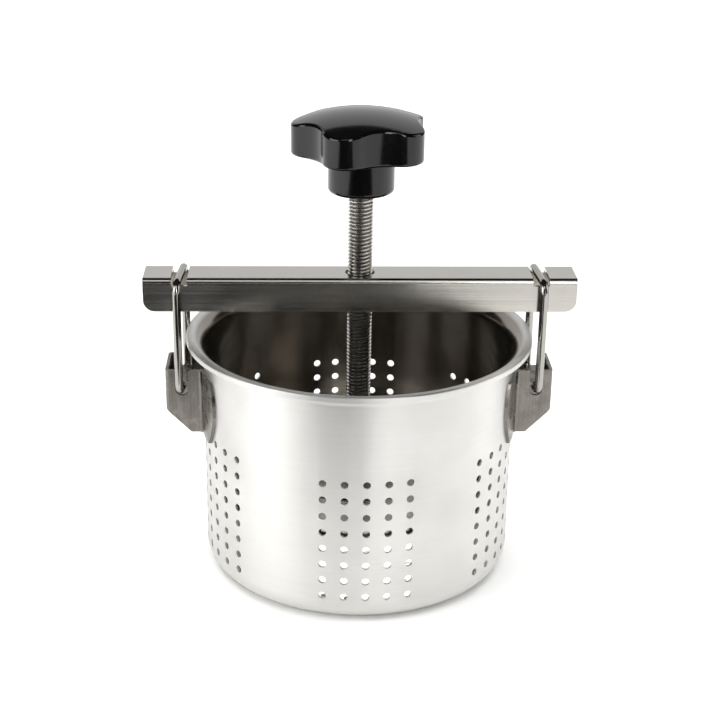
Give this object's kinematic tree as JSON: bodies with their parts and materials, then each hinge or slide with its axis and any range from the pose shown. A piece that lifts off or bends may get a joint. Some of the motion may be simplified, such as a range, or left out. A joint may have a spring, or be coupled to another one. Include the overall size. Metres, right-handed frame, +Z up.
{
  "type": "potato ricer",
  "caption": "Screw-press potato ricer: perforated steel basket, crossbar held by two wire bails, and a star-knob screw driving a press plate.",
  "frame": {"origin": "centre of the basket's flat base, on the surface it stands on", "axes": "+Z up along the screw, X along the crossbar from bail to bail, -Y the front"},
  "size_m": [0.1722, 0.14, 0.1896],
  "materials": {
    "basket_steel": "satin stainless sheet, brushed round the wall",
    "bracket_steel": "satin stainless sheet with fine blast texture",
    "wire_steel": "polished stainless wire",
    "bar_steel": "stainless channel, brushed along its length",
    "block_steel": "machined stainless",
    "screw_steel": "rolled stainless thread, bright",
    "plate_steel": "pressed stainless sheet, brushed in circles",
    "hub_steel": "turned stainless",
    "rivet_steel": "bright stainless rivet heads",
    "clip_steel": "spring steel, oiled",
    "knob_plastic": "moulded black phenolic, polished",
    "insert_brass": "turned brass",
    "washer_brass": "flat brass washer"
  },
  "bodies": {
    "basket": {"basket": "basket_steel", "bracket_left": "bracket_steel", "bracket_right": "bracket_steel", "bail_keeper_left": "bracket_steel", "bail_keeper_right": "bracket_steel"},
    "bail_left": {"bail_left": "wire_steel"},
    "bail_right": {"bail_right": "wire_steel"},
    "crossbar": {"crossbar": "bar_steel", "thread_block": "block_steel"},
    "press_plate": {"press_plate": "plate_steel", "plate_hub": "hub_steel", "plate_rivets": "rivet_steel", "thrust_washer": "washer_brass"},
    "screw": {"screw": "screw_steel", "knob": "knob_plastic", "knob_insert": "insert_brass", "retaining_clip": "clip_steel"}
  },
  "joints": [
    {"name": "crossbar_drop", "type": "slide", "parent": "basket", "child": "crossbar", "axis": [0, 0, -1], "range_m": [0, 0.011]},
    {"name": "press_travel", "type": "slide", "parent": "crossbar", "child": "press_plate", "axis": [0, 0, -1], "range_m": [-0.0556, 0.0181]},
    {"name": "screw_turn", "type": "hinge", "parent": "press_plate", "child": "screw", "pos_m": [0, 0, 0.05], "axis": [0, 0, -1], "range_deg": [-13320, 4320]},
    {"name": "bail_right_tilt", "type": "hinge", "parent": "basket", "child": "bail_right", "pos_m": [0.07175, 0, 0.07675], "axis": [-0.0663, 0.9978, 0], "range_deg": [-0.5, 1]},
    {"name": "bail_left_tilt", "type": "hinge", "parent": "basket", "child": "bail_left", "pos_m": [-0.07175, 0, 0.07675], "axis": [-0.0663, -0.9978, 0], "range_deg": [-0.5, 1]}
  ],
  "couplings": [
    {"joint": "press_travel", "follows": "screw_turn", "m_per_rad": 0.00023873}
  ]
}
